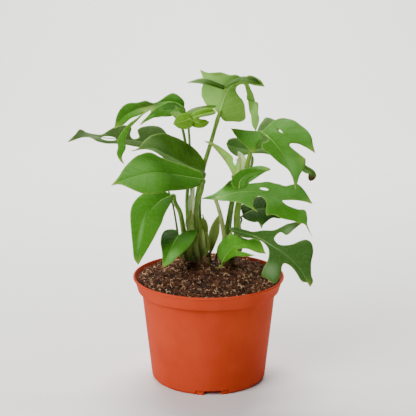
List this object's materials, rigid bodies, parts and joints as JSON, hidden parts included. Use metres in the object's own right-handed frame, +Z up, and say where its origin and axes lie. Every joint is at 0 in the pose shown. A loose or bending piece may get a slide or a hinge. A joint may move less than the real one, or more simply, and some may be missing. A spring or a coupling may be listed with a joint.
{
  "type": "potted foliage plant",
  "caption": "Young split-leaf philodendron with green lobed leaves on slender petioles, growing from dark potting soil in a round terracotta-coloured plastic nursery pot.",
  "frame": {"origin": "centre of the pot's flat foot, on the surface that the pot stands on", "axes": "+Z up along the pot's axis; -Y is the front; +X is the side that the larger split leaves lean to"},
  "size_m": [0.2552, 0.1522, 0.3122],
  "materials": {
    "pot_plastic": "smooth matte terracotta-orange moulded plastic",
    "soil_peat": "dark crumbly peat and coir potting mix",
    "leaf_green": "mid green leaf, satin above and paler below",
    "young_leaf_green": "bright yellow-green young leaf",
    "petiole_green": "green petiole",
    "stem_green": "green stem",
    "dry_brown": "dry brown dead petiole"
  },
  "bodies": {
    "root": {"pot": "pot_plastic", "soil": "soil_peat", "stem_left": "stem_green", "stem_rear": "stem_green", "stem_right": "stem_green", "left_main_blade": "leaf_green", "left_main_petiole": "petiole_green", "left_upper_blade": "leaf_green", "left_upper_petiole": "petiole_green", "left_hanging_blade": "leaf_green", "left_hanging_petiole": "petiole_green", "left_heart_blade": "leaf_green", "left_heart_petiole": "petiole_green", "left_split_blade": "leaf_green", "left_split_petiole": "petiole_green", "left_young_blade": "young_leaf_green", "left_young_petiole": "petiole_green", "left_far_blade": "leaf_green", "left_far_petiole": "petiole_green", "top_blade": "leaf_green", "top_petiole": "petiole_green", "right_upper_blade": "leaf_green", "right_upper_petiole": "petiole_green", "right_middle_blade": "leaf_green", "right_middle_petiole": "petiole_green", "right_lower_blade": "leaf_green", "right_lower_petiole": "petiole_green", "front_right_blade": "leaf_green", "front_right_petiole": "petiole_green", "right_rear_blade": "leaf_green", "right_rear_petiole": "petiole_green", "rear_right_blade": "leaf_green", "rear_right_petiole": "petiole_green", "shoot_blade": "young_leaf_green", "shoot_petiole": "petiole_green", "shoot_tip_blade": "young_leaf_green", "shoot_tip_petiole": "petiole_green", "crown_upright_blade": "young_leaf_green", "crown_upright_petiole": "petiole_green", "crown_round_blade": "young_leaf_green", "crown_round_petiole": "petiole_green", "crown_front_blade": "leaf_green", "crown_front_petiole": "petiole_green", "crown_sheath_blade": "leaf_green", "crown_sheath_petiole": "petiole_green", "dead_petiole_left": "dry_brown", "dead_petiole_right": "dry_brown"}
  },
  "joints": []
}
